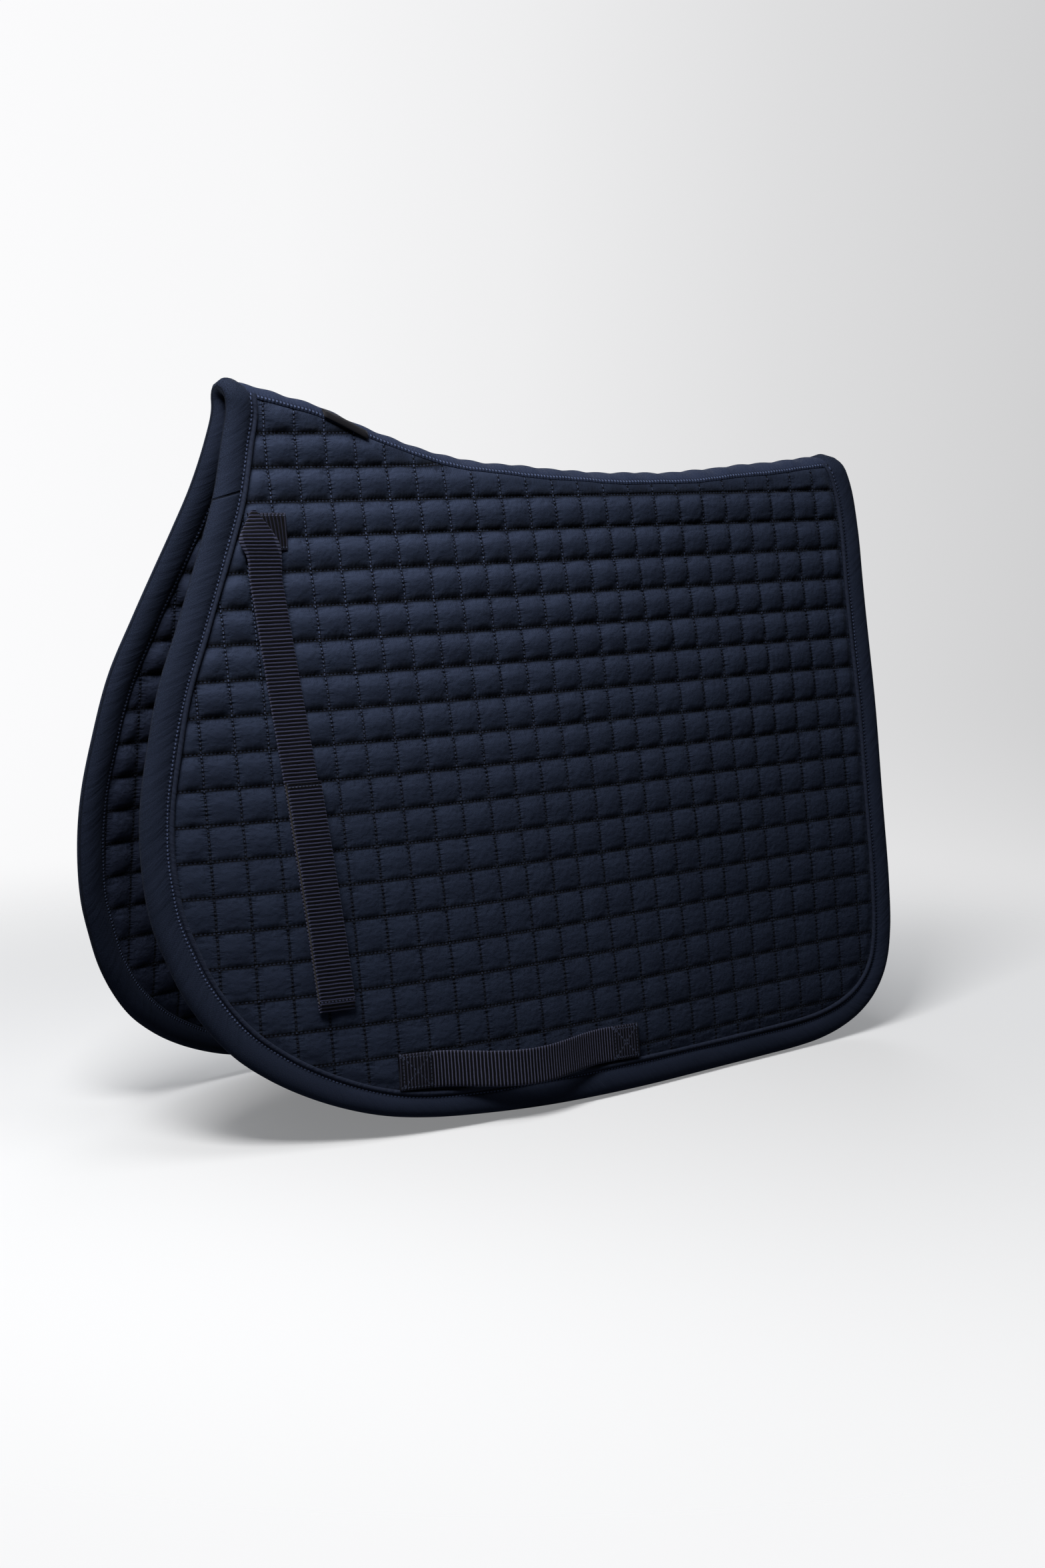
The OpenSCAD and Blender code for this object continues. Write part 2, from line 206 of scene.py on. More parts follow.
class Mat:
    """Small helper for a node material with one Principled shader."""

    def __init__(self, name, rough, sheen=0.0, sheen_rough=0.5, tint=(1, 1, 1, 1), spec=0.3):
        self.m = bpy.data.materials.new(name)
        self.m.use_nodes = True
        self.t = self.m.node_tree
        self.b = self.t.nodes["Principled BSDF"]
        self.b.inputs["Roughness"].default_value = rough
        self.b.inputs["Sheen Weight"].default_value = sheen
        self.b.inputs["Sheen Roughness"].default_value = sheen_rough
        self.b.inputs["Sheen Tint"].default_value = tint
        self.b.inputs["Specular IOR Level"].default_value = spec

    def put(self, sock, val):
        if isinstance(val, bpy.types.NodeSocket):
            self.t.links.new(val, sock)
        else:
            sock.default_value = val

    def node(self, kind, **props):
        n = self.t.nodes.new(kind)
        for k, v in props.items():
            setattr(n, k, v)
        return n

    def math(self, op, a, b=0.0, c=0.0):
        n = self.node("ShaderNodeMath", operation=op)
        for s, v in zip(n.inputs, (a, b, c)):
            self.put(s, v)
        return n.outputs[0]

    def step(self, x, a, b, lo=0.0, hi=1.0):
        n = self.node("ShaderNodeMapRange", interpolation_type="SMOOTHSTEP")
        for s, v in zip(n.inputs, (x, a, b, lo, hi)):
            self.put(s, v)
        return n.outputs[0]

    def mix(self, f, a, b, mode="MIX"):
        n = self.node("ShaderNodeMix", data_type="RGBA", blend_type=mode)
        self.put(n.inputs[0], f); self.put(n.inputs[6], a); self.put(n.inputs[7], b)
        return n.outputs[2]

    def uv(self, name="UVMap"):
        n = self.node("ShaderNodeUVMap", uv_map=name)
        s = self.node("ShaderNodeSeparateXYZ")
        self.t.links.new(n.outputs[0], s.inputs[0])
        return n.outputs[0], s.outputs[0], s.outputs[1]

    def place(self):
        return self.node("ShaderNodeTexCoord").outputs["Object"]

    def noise(self, vec, scale, detail=2.0, rough=0.5):
        n = self.node("ShaderNodeTexNoise")
        self.put(n.inputs["Vector"], vec)
        n.inputs["Scale"].default_value = scale
        n.inputs["Detail"].default_value = detail
        n.inputs["Roughness"].default_value = rough
        return n.outputs[0]

    def vec(self, x, y, z=0.0):
        n = self.node("ShaderNodeCombineXYZ")
        for s, v in zip(n.inputs, (x, y, z)):
            self.put(s, v)
        return n.outputs[0]

    def bump(self, height, dist, normal=None, strength=1.0):
        n = self.node("ShaderNodeBump")
        n.inputs["Strength"].default_value = strength
        n.inputs["Distance"].default_value = dist
        self.put(n.inputs["Height"], height)
        if normal is not None:
            self.put(n.inputs["Normal"], normal)
        return n.outputs[0]

    def done(self, colour, normal=None, rough=None):
        self.put(self.b.inputs["Base Color"], colour)
        if normal is not None:
            self.put(self.b.inputs["Normal"], normal)
        if rough is not None:
            self.put(self.b.inputs["Roughness"], rough)
        return self.m


NAVY = lin(28, 35, 50)
NAVY_D = lin(23, 29, 43)
BIND = lin(19, 24, 36)
PIPE = lin(29, 35, 50)
TINT = (0.62, 0.74, 1.0, 1)


def tri(m, x):
    """Distance to the nearest whole number."""
    return m.math("ABSOLUTE", m.math("SUBTRACT", m.math("FRACT", m.math("ADD", x, 0.5)), 0.5))


def twill(m, vec, x, y, pitch=0.85):
    """Fine diagonal rib in mm coordinates, broken by noise."""
    ph = m.math("ADD", m.math("MULTIPLY", x, 1.0 / pitch), m.math("MULTIPLY", y, 0.62 / pitch))
    wave = m.math("SINE", m.math("MULTIPLY", ph, 2 * math.pi))
    return m.math("ADD", m.math("MULTIPLY", wave, 0.35), m.math("MULTIPLY", m.noise(vec, 1.6, 3, 0.65), 1.3))


def quilt_material(name, a, b, dots):
    m = Mat(name, 0.88, sheen=0.04, sheen_rough=0.35, tint=TINT, spec=0.09)
    uv, su, sv = m.uv()
    x, y = m.math("MULTIPLY", su, SQ), m.math("MULTIPLY", sv, SQ)
    mm = m.vec(x, y)
    du, dv = m.math("MULTIPLY", tri(m, su), SQ), m.math("MULTIPLY", tri(m, sv), SQ)
    pitch = 3.05
    px, py = m.math("MULTIPLY", x, 1 / pitch), m.math("MULTIPLY", y, 1 / pitch)
    seg_x, seg_y = tri(m, px), tri(m, py)          # 0 at a stitch hole, 0.5 mid stitch
    row, col = m.step(dv, 1.9, 0.6), m.step(du, 1.5, 0.35)
    # thread seen between the holes
    th_row = m.math("MULTIPLY", m.step(dv, 0.55, 0.3), m.step(seg_x, 0.16, 0.3))
    th_col = m.math("MULTIPLY", m.step(du, 0.55, 0.3), m.step(seg_y, 0.16, 0.28))
    hole = m.math("MAXIMUM", m.math("MULTIPLY", m.step(dv, 0.8, 0.4), m.step(seg_x, 0.15, 0.06)),
                  m.math("MULTIPLY", m.step(du, 0.8, 0.4), m.step(seg_y, 0.15, 0.06)))
    cloud = m.noise(mm, 0.035, 3, 0.6)
    grain = m.noise(mm, 2.1, 2, 0.7)
    slub = m.noise(m.vec(m.math("MULTIPLY", x, 0.18), m.math("MULTIPLY", y, 1.4)), 1.0, 2, 0.6)
    base = m.mix(m.step(cloud, 0.3, 0.7), a, b)
    base = m.mix(m.math("MULTIPLY", m.step(grain, 0.4, 0.75), 0.32), base, lin(56, 67, 94))
    base = m.mix(m.math("MULTIPLY", m.step(slub, 0.45, 0.75), 0.18), base, lin(28, 33, 48))
    fv = m.math("FRACT", sv)
    # weight of the painted highlight and painted shade: strongest in the top rows and towards the front end
    painted_light_weight = m.math("MULTIPLY", m.step(sv, 15.0, 4.0), m.math("ADD", 0.45, m.math("MULTIPLY", m.step(su, 23.0, 8.0), 0.55)))
    # painted highlight on the upper part of each square, where the light from above falls
    painted_highlight = m.math("MULTIPLY", m.step(fv, 0.05, 0.16), m.step(fv, 0.62, 0.2))
    base = m.mix(m.math("MULTIPLY", m.math("MULTIPLY", painted_highlight, m.math("ADD", 0.15, m.math("MULTIPLY", painted_light_weight, 0.85))), 0.55), base, lin(58, 67, 90))
    # painted shade on the underside of each pillow: deep in the middle of the square, pinched out at the columns
    fat = m.math("SUBTRACT", 1.0, m.math("POWER", m.math("MULTIPLY", tri(m, m.math("ADD", su, 0.5)), 2.0), 2.0))
    deep = m.math("ADD", 0.09, m.math("MULTIPLY", fat, m.math("ADD", 0.13, m.math("MULTIPLY", painted_light_weight, 0.19))))
    below = m.step(m.math("DIVIDE", m.math("SUBTRACT", 1.0, fv), deep), 1.0, 0.0)
    base = m.mix(m.math("MULTIPLY", below, m.math("ADD", 0.42, m.math("MULTIPLY", painted_light_weight, 0.33))), base, lin(6, 8, 13))
    # painted crease shade along the row and column seams
    base = m.mix(m.math("MULTIPLY", row, 0.96), base, lin(5, 6, 10))
    base = m.mix(m.math("MULTIPLY", col, 0.92), base, lin(7, 9, 15))
    base = m.mix(m.math("MULTIPLY", hole, 0.85), base, lin(5, 6, 10))
    # column thread, with a painted highlight where the painted light weight is high
    base = m.mix(m.math("MULTIPLY", th_col, m.math("MULTIPLY", dots, m.math("ADD", 0.14, m.math("MULTIPLY", painted_light_weight, 0.71)))), base, lin(84, 97, 130))
    base = m.mix(m.math("MULTIPLY", th_row, dots * 0.45), base, lin(60, 70, 96))
    weave = twill(m, mm, x, y)
    n = m.bump(weave, 0.00011)
    # the pull of each stitch on the fabric beside it
    pull = m.math("ADD", m.math("MULTIPLY", m.math("COSINE", m.math("MULTIPLY", px, 2 * math.pi)), m.step(dv, 2.6, 0.3)),
                  m.math("MULTIPLY", m.math("COSINE", m.math("MULTIPLY", py, 2 * math.pi)), m.step(du, 2.4, 0.3)))
    h = m.math("ADD", m.math("MULTIPLY", pull, -0.16), m.math("ADD", m.math("MULTIPLY", th_col, 0.30), m.math("MULTIPLY", hole, -0.5)))
    n = m.bump(h, 0.0009, n)
    # small gathers running away from each seam
    gv = m.noise(m.vec(m.math("MULTIPLY", x, 0.5), m.math("MULTIPLY", y, 0.05)), 1.0, 2, 0.55)
    gu = m.noise(m.vec(m.math("MULTIPLY", x, 0.05), m.math("MULTIPLY", y, 0.5)), 1.0, 2, 0.55)
    n = m.bump(m.math("ADD", m.math("MULTIPLY", gv, m.step(dv, 7.0, 0.5)), m.math("MULTIPLY", gu, m.step(du, 6.0, 0.5))), 0.0016, n)
    wr = m.noise(mm, 0.22, 3, 0.55)
    n = m.bump(wr, 0.0011, n)
    return m.done(base, n)


SEAM_S = float(ES[int(np.argmin(np.abs(EP[:200, 1] - 87)))])


def edge_material(name, colour, light, stitch_at, row=True, seam=None):
    """Binding: UV is (mm along the edge, mm in from the edge)."""
    m = Mat(name, 0.88, sheen=0.025, sheen_rough=0.35, tint=TINT, spec=0.07)
    uv, s, d = m.uv()
    mm = m.vec(s, d)
    grain = m.noise(mm, 2.0, 2, 0.7)
    cloud = m.noise(m.vec(m.math("MULTIPLY", s, 0.02), m.math("MULTIPLY", d, 0.05)), 1.0, 2)
    base = m.mix(m.step(cloud, 0.3, 0.7), colour, light)
    base = m.mix(m.math("MULTIPLY", m.step(grain, 0.35, 0.75), 0.3), base, lin(66, 78, 106))
    n = m.bump(twill(m, mm, s, m.math("MULTIPLY", d, -1.0)), 0.00010)
    # bias drag, slanting across the binding
    drag = m.noise(m.vec(m.math("MULTIPLY", m.math("ADD", s, m.math("MULTIPLY", d, 0.9)), 0.16), m.math("MULTIPLY", d, 0.035)), 1.0, 3, 0.55)
    n = m.bump(drag, 0.0009, n)
    if seam is not None:
        # slanting join in the binding
        off = m.math("ABSOLUTE", m.math("SUBTRACT", m.math("ADD", s, m.math("MULTIPLY", d, 0.62)), seam))
        base = m.mix(m.math("MULTIPLY", m.step(off, 0.7, 0.25), 0.85), base, lin(8, 10, 16))
        n = m.bump(m.math("MULTIPLY", m.step(off, 1.6, 0.2), -1.0), 0.0009, n)
    if row:
        near = m.math("ABSOLUTE", m.math("SUBTRACT", d, stitch_at))
        seg = tri(m, m.math("MULTIPLY", s, 1 / 3.0))
        th = m.math("MULTIPLY", m.step(near, 0.6, 0.35), m.step(seg, 0.14, 0.26))
        hole = m.math("MULTIPLY", m.step(near, 0.8, 0.4), m.step(seg, 0.14, 0.05))
        # painted shade in the groove beside the stitch line
        base = m.mix(m.math("MULTIPLY", m.step(near, 1.5, 0.5), 0.35), base, lin(16, 20, 31))
        base = m.mix(m.math("MULTIPLY", hole, 0.8), base, lin(6, 7, 12))
        base = m.mix(m.math("MULTIPLY", th, 0.75), base, lin(80, 92, 124))
        pull = m.math("MULTIPLY", m.math("COSINE", m.math("MULTIPLY", s, 2 * math.pi / 3.0)), m.step(near, 3.2, 0.4))
        n = m.bump(m.math("ADD", m.math("MULTIPLY", pull, -0.2), m.math("MULTIPLY", th, 0.3)), 0.0008, n)
    return m.done(base, n)


def pipe_material():
    m = Mat("piping_twill", 0.85, sheen=0.04, sheen_rough=0.4, tint=TINT, spec=0.1)
    uv, s, d = m.uv()
    mm = m.vec(s, d)
    base = m.mix(m.step(m.noise(mm, 0.3, 2), 0.3, 0.7), PIPE, lin(25, 30, 44))
    base = m.mix(m.math("MULTIPLY", m.step(m.noise(mm, 2.2, 2, 0.7), 0.4, 0.75), 0.25), base, lin(56, 65, 90))
    n = m.bump(twill(m, mm, s, d, 0.9), 0.0001)
    pucker = m.noise(m.vec(m.math("MULTIPLY", m.math("ADD", s, m.math("MULTIPLY", d, 0.5)), 0.35), m.math("MULTIPLY", d, 0.08)), 1.0, 2)
    return m.done(base, m.bump(pucker, 0.0009, n))


def web_material(name, rib_lit_colour, low, rib=2.7, along=True, boxes=()):
    """Ribbed webbing: UV is (mm across, mm along)."""
    m = Mat(name, 0.6, sheen=0.04, sheen_rough=0.35, tint=(0.75, 0.8, 1.0, 1), spec=0.12)
    uv, a, s = m.uv()
    mm = m.vec(a, s)
    wob = m.math("MULTIPLY", m.math("SUBTRACT", m.noise(mm, 0.12, 2), 0.5), 0.5)
    ph = m.math("MULTIPLY", m.math("ADD", s, wob), 2 * math.pi / rib)
    wave = m.math("ADD", m.math("MULTIPLY", m.math("SINE", ph), 0.5), 0.5)
    crown = m.step(wave, 0.46, 0.9)
    yarn = m.noise(m.vec(m.math("MULTIPLY", a, 2.2), m.math("MULTIPLY", s, 0.9)), 1.0, 2, 0.7)
    # painted highlight on the rib crowns and painted shade in the valleys between them
    base = m.mix(crown, low, rib_lit_colour)
    base = m.mix(m.math("MULTIPLY", m.step(yarn, 0.35, 0.7), 0.42), base, lin(12, 12, 19))
    edge = m.step(m.math("ABSOLUTE", a), 11.9, 12.7)
    nick = m.step(tri(m, m.math("MULTIPLY", s, 1 / rib)), 0.12, 0.3)
    base = m.mix(m.math("MULTIPLY", m.math("MULTIPLY", edge, nick), 0.35), base, lin(84, 88, 112))
    h = m.math("ADD", crown, m.math("MULTIPLY", yarn, 0.25))
    n = m.bump(h, 0.0016)
    return m, a, s, base, n


def dashes(m, across, along, pitch=2.6, wide=0.45):
    """Thread dashes on the line across = 0, running with along; returns (thread, hole)."""
    near = m.math("ABSOLUTE", across)
    seg = tri(m, m.math("MULTIPLY", along, 1 / pitch))
    return (m.math("MULTIPLY", m.step(near, wide + 0.2, wide - 0.1), m.step(seg, 0.12, 0.24)),
            m.math("MULTIPLY", m.step(near, wide + 0.45, wide), m.step(seg, 0.12, 0.05)))


# rib crown colour with painted highlight, rib valley colour with painted shade
WEB_RIB_LIT, WEB_RIB_SHADE = lin(58, 61, 87), lin(2, 2, 4)
THREAD = lin(62, 68, 90)


def finish_web(m, base, n, rows):
    """rows: list of (across, along) sockets of sewing lines."""
    th, ho = None, None
    for ac, al in rows:
        t, h = dashes(m, ac, al)
        th = t if th is None else m.math("MAXIMUM", th, t)
        ho = h if ho is None else m.math("MAXIMUM", ho, h)
    if th is not None:
        base = m.mix(m.math("MULTIPLY", ho, 0.85), base, lin(5, 5, 8))
        base = m.mix(m.math("MULTIPLY", th, 0.85), base, THREAD)
        n = m.bump(m.math("ADD", m.math("MULTIPLY", th, 0.5), m.math("MULTIPLY", ho, -0.6)), 0.0008, n)
    return m.done(base, n)


MAT_OUT = quilt_material("cotton_twill_quilted", NAVY, NAVY_D, 0.8)
MAT_IN = quilt_material("cotton_lining_quilted", lin(34, 40, 57), lin(29, 34, 50), 0.6)
MAT_BIND = edge_material("binding_twill", BIND, lin(22, 27, 40), 18.2, seam=SEAM_S)
MAT_TAPE = edge_material("spine_tape_twill", lin(32, 39, 58), lin(37, 44, 64), 10.2)
MAT_PIPE = pipe_material()
m, a, s, base, n = web_material("webbing_strap", WEB_RIB_LIT, WEB_RIB_SHADE)
MAT_STRAP = finish_web(m, base, n, [])
# tab: stitched 3 mm below its free end and above its hem
m, a, s, base, n = web_material("webbing_tab", WEB_RIB_LIT, WEB_RIB_SHADE)
MAT_TAB = finish_web(m, base, n, [(m.math("SUBTRACT", s, 3.6), a), (m.math("SUBTRACT", s, 156.0), a)])
# anchor: box of stitches; the ribs stand upright
m, a, s, base, n = web_material("webbing_anchor", lin(32, 34, 52), WEB_RIB_SHADE)
MAT_ANCHOR = finish_web(m, base, n, [(m.math("SUBTRACT", m.math("ABSOLUTE", a), 11.4), s), (m.math("SUBTRACT", s, 26.5), a),
                                     (m.math("SUBTRACT", s, 28.6), a)])
# keeper: a box with a cross at each end, 215 mm long in all
KEEP_L = 217.0
# painted highlight: the keeper's rib crowns are a lighter, lit copy of the strap's webbing
m, a, s, base, n = web_material("webbing_keeper", lin(86, 88, 114), WEB_RIB_SHADE)
e = m.math("MINIMUM", s, m.math("SUBTRACT", KEEP_L, s))
far = m.step(e, 27.5, 27.0)


def only(x):
    return m.math("MAXIMUM", m.math("ABSOLUTE", x), m.math("MULTIPLY", m.math("SUBTRACT", 1.0, far), 50.0))


base = m.mix(m.math("MULTIPLY", far, 0.5), base, lin(12, 13, 20))
ab = m.math("ABSOLUTE", a)
ec = m.math("SUBTRACT", e, 14.0)
MAT_KEEP = finish_web(m, base, n, [(only(m.math("SUBTRACT", ab, 10.8)), s), (m.math("SUBTRACT", e, 3.0), a), (m.math("SUBTRACT", e, 25.0), a),
                                   (only(m.math("MULTIPLY", m.math("SUBTRACT", ab, m.math("ABSOLUTE", ec)), 0.7)), s)])


def nap_material(name, c1, c2, scale, rough):
    m = Mat(name, rough, sheen=0.3, sheen_rough=0.5, spec=0.25)
    uv, a, s = m.uv()
    v = m.vec(a, s)
    f = m.noise(v, scale, 3, 0.75)
    vo = m.node("ShaderNodeTexVoronoi")
    m.put(vo.inputs["Vector"], v)
    vo.inputs["Scale"].default_value = scale * 0.7
    h = m.math("ADD", f, m.math("MULTIPLY", vo.outputs["Distance"], -0.8))
    return m.done(m.mix(m.step(f, 0.3, 0.7), c1, c2), m.bump(h, 0.0009))


MAT_LOOP = nap_material("loop_tape_nap", lin(24, 22, 22), lin(44, 39, 36), 1.1, 0.95)
MAT_HOOK = nap_material("hook_tape_bristle", lin(18, 17, 18), lin(36, 33, 33), 1.8, 0.6)
m = Mat("label_rubber", 0.6, spec=0.2)
uv, a, s = m.uv()
f = m.noise(m.vec(a, s), 1.4, 3, 0.6)
MAT_LABEL = m.done(m.mix(f, lin(17, 17, 21), lin(25, 25, 30)), m.bump(f, 0.0002))


# ---------------------------------------------------------------- meshes
def build(name, pts, faces, uv, mats, face_mat=None):
    me = bpy.data.meshes.new(name)
    me.from_pydata((np.asarray(pts, float).reshape(-1, 3) * 0.001).tolist(), [], np.asarray(faces).tolist() if isinstance(faces, np.ndarray) else faces)
    for k in (mats if isinstance(mats, (list, tuple)) else [mats]):
        me.materials.append(k)
    me.polygons.foreach_set("use_smooth", np.ones(len(me.polygons), bool))
    idx = np.empty(len(me.loops), np.int32)
    me.loops.foreach_get("vertex_index", idx)
    me.uv_layers.new(name="UVMap").data.foreach_set("uv", np.asarray(uv, np.float32).reshape(-1, 2)[idx].ravel())
    if face_mat is not None:
        me.polygons.foreach_set("material_index", np.asarray(face_mat, np.int32))
    me.update()
    ob = bpy.data.objects.new(name, me)
    SCENE.collection.objects.link(ob)
    return ob


def quads(rows, cols, closed=False, keep=None, flip=False):
    i, j = np.meshgrid(np.arange(rows - 1), np.arange(cols if closed else cols - 1), indexing="ij")
    jn = (j + 1) % cols
    f = np.stack([i * cols + j, i * cols + jn, (i + 1) * cols + jn, (i + 1) * cols + j], -1).reshape(-1, 4)
    if keep is not None:
        f = f[keep.reshape(-1)[f].all(1)]
    return f[:, ::-1] if flip else f


def compact(pts, uv, faces):
    used = np.unique(faces)
    new = np.full(len(pts), -1); new[used] = np.arange(len(used))
    return pts[used], uv[used], new[faces]


# ---- the pillow of one quilted square, from a cloth simulation of a sewn patch
CELLS = 16
PUFF = 4.1


def cloth_tiles():
    n, k = 6, CELLS
    N = n * k + 1
    c = 0.25 / k                      # ten times real size, where the solver is steadier
    g = np.arange(N) * c
    x, y = np.meshgrid(g, g, indexing="ij")
    rng = np.random.default_rng(11)
    z = rng.normal(0, 0.0012, x.shape)
    on = (np.arange(N) % k == 0)
    seam = on[:, None] | on[None, :]
    z[seam] = 0
    z[~seam] += 0.004
    me = bpy.data.meshes.new("patch_sim")
    me.from_pydata(np.stack([x, y, z], -1).reshape(-1, 3).tolist(), [], quads(N, N).tolist())
    ob = bpy.data.objects.new("patch_sim", me)
    SCENE.collection.objects.link(ob)
    vg = ob.vertex_groups.new(name="seams")
    vg.add([int(i) for i in np.flatnonzero(seam.reshape(-1))], 1.0, "REPLACE")
    md = ob.modifiers.new("cloth", "CLOTH")
    st = md.settings
    st.quality = 5
    st.mass = 0.3
    st.tension_stiffness = st.compression_stiffness = 18
    st.shear_stiffness = 6
    st.bending_stiffness = 0.6
    st.tension_damping = st.compression_damping = 8
    st.air_damping = 4
    st.vertex_group_mass = "seams"
    st.pin_stiffness = 10
    st.use_pressure = True
    st.uniform_pressure_force = 6
    st.shrink_min = -0.05
    st.effector_weights.gravity = 0
    md.collision_settings.use_collision = False
    SCENE.frame_start, SCENE.frame_end = 1, 24
    md.point_cache.frame_start, md.point_cache.frame_end = 1, 24
    for f in range(1, 23):
        SCENE.frame_set(f)
    ev = ob.evaluated_get(bpy.context.evaluated_depsgraph_get())
    em = ev.to_mesh()
    co = np.empty(len(em.vertices) * 3); em.vertices.foreach_get("co", co)
    ev.to_mesh_clear()
    co = co.reshape(N, N, 3)
    d = (co - np.stack([x, y, np.zeros_like(x)], -1)) * 100.0      # back to mm at real size
    bpy.data.objects.remove(ob)
    SCENE.frame_set(1)
    out = []
    for i in range(1, n - 1):
        for j in range(1, n - 1):
            t = d[i * k:(i + 1) * k + 1, j * k:(j + 1) * k + 1].copy()
            t[0] = t[-1] = 0; t[:, 0] = t[:, -1] = 0
            out.append(t)
    out = np.array(out)
    if np.median(out[:, k // 2, k // 2, 2]) < 0:
        out[..., 2] *= -1
    peak = np.median(out[:, k // 2, k // 2, 2])
    print("cloth patch: puff height mm", round(float(peak), 2), "range", out[..., 2].min().round(2), out[..., 2].max().round(2))
    out *= np.array([0.8, 0.8, 3.0 / max(peak, 0.2)])
    out[..., :2] = np.clip(out[..., :2], -0.7, 0.7)
    t = np.clip(out[..., 2] / 3.0, 0, 1.35)
    # rounder down the flap than along it, as the batting settles between the rows
    f = 1 - (2 * np.linspace(0, 1, k + 1) - 1) ** 2
    out[..., 2] = PUFF * (0.5 * t ** 0.7 + 0.5 * (f ** 0.62)[None, :, None] * (f ** 0.6)[None, None, :])
    return out


TILES = cloth_tiles()


def puff(su, sv, seed):
    """(du, dv, dh) in mm of the quilting at square coordinates."""
    I, J = np.floor(su).astype(int), np.floor(sv).astype(int)
    fu, fv = su - I, sv - J
    hsh = (I * 73856093) ^ (J * 19349663) ^ (seed * 83492791)
    hsh = (hsh ^ (hsh >> 13)) * 1274126177 & 0x7FFFFFFF
    tile = hsh % len(TILES)
    fx, fy = (hsh >> 8) & 1, (hsh >> 9) & 1
    a = np.where(fx == 1, 1 - fu, fu) * CELLS
    b = np.where(fy == 1, 1 - fv, fv) * CELLS
    i, j = np.clip(a.astype(int), 0, CELLS - 1), np.clip(b.astype(int), 0, CELLS - 1)
    p, q = (a - i)[..., None], (b - j)[..., None]
    r = (TILES[tile, i, j] * (1 - p) * (1 - q) + TILES[tile, i + 1, j] * p * (1 - q)
         + TILES[tile, i, j + 1] * (1 - p) * q + TILES[tile, i + 1, j + 1] * p * q)
    size = 0.88 + 0.24 * ((hsh >> 12) % 997) / 997.0
    r = r * size[..., None]
    r[..., 0] *= np.where(fx == 1, -1, 1)
    r[..., 1] *= np.where(fy == 1, -1, 1)
    return r


VALLEY = 2.2


def strap_u(v):
    return -236 + (v - 125) * 0.06

V0 = 115.0


def panel(name, side, outer, cells):
    step = SQ / cells
    k0 = math.floor((-346 / SQ + 11.8) * cells); k1 = math.ceil((354 / SQ + 11.8) * cells)
    su = np.arange(k0, k1 + 1) / cells
    u = SQ * (su - 11.8)
    below = V0 + np.arange(1, int((550 - V0) / step) + 1) * step
    length = 15.7 + (V0 - vr(u) - 10)
    K = int(round(118 / step / 1.0))
    f = np.arange(K + 1) / K
    s = f[:, None] * length[None, :]
    w = np.where(s < 15.7, 10 * (1 - np.cos(np.minimum(s, 15.7) / 10)), 10 + s - 15.7)
    w[-1] = V0 - vr(u)
    W = np.vstack([w, below[:, None] - vr(u)[None, :]])
    U = np.broadcast_to(u, W.shape)
    V = W + vr(U)
    d = edge_distance(U, V)
    SU, SV = U / SQ + 11.8, V / SQ - 0.6
    r = puff(SU, SV, (1 if outer else 5) + (3 if side > 0 else 0))
    near_edge = smooth(d, 21.5, 32.0) if outer else smooth(d, 17.5, 29)
    amp = near_edge * smooth(W, 4.0 if outer else 3, 20) * (1.05 - 0.45 * smooth(V, 150, 470))
    flat = smooth(W, 2, 14)
    du_c = np.abs((SU + 0.5) % 1 - 0.5) * SQ
    valley = VALLEY + 0.25 * flat * near_edge * smooth(np.abs((SV + 0.5) % 1 - 0.5) * SQ, 1.5, 9) * (1 - smooth(du_c, 0.5, 5))
    valley = valley + (1 - flat) * 1.2
    h = valley + r[..., 2] * amp
    if outer:
        # pressed flat under the strap and under the ends of the keeper
        under = ((np.abs(U - strap_u(V)) < 15) & (V > 97) & (V < 453)) | ((V > 94) & (V < 127) & (U > -246) & (U < -210))
        h = np.where(under, np.minimum(h, 5.6 + 0.15 * (h - 5.6)), h)
        t = (U + 173.5) / 215.5
        ends = (np.abs(V - (501.8 + 8.6 * t)) < 14.5) & (((t > -0.01) & (t < 0.135)) | ((t > 0.865) & (t < 1.01)))
        h = np.where(ends, np.minimum(h, 4.6 + 0.2 * (h - 4.6)), h)
    if not outer:
        h = -h
    P = place(U + r[..., 0] * amp, np.maximum(W + r[..., 1] * amp, 0), h, side)
    on_seam = W <= 1e-6
    P[on_seam, 1] = 0.0
    faces = quads(*W.shape, keep=(d > 6.5) | (W < 0), flip=(side < 0) == outer)
    pts, uv, faces = compact(P.reshape(-1, 3), np.stack([SU, SV], -1).reshape(-1, 2), faces)
    return build(name, pts, faces, uv, MAT_OUT if outer else MAT_IN)


def bind_to(ob):
    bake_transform(ob)
    return ob


def ripple(s, side, k):
    return np.sin(s / 7.3 + k) * 0.5 + np.sin(s / 11.9 + 2.3 * k + side) * 0.6 + np.sin(s / 23.0 - k) * 0.7


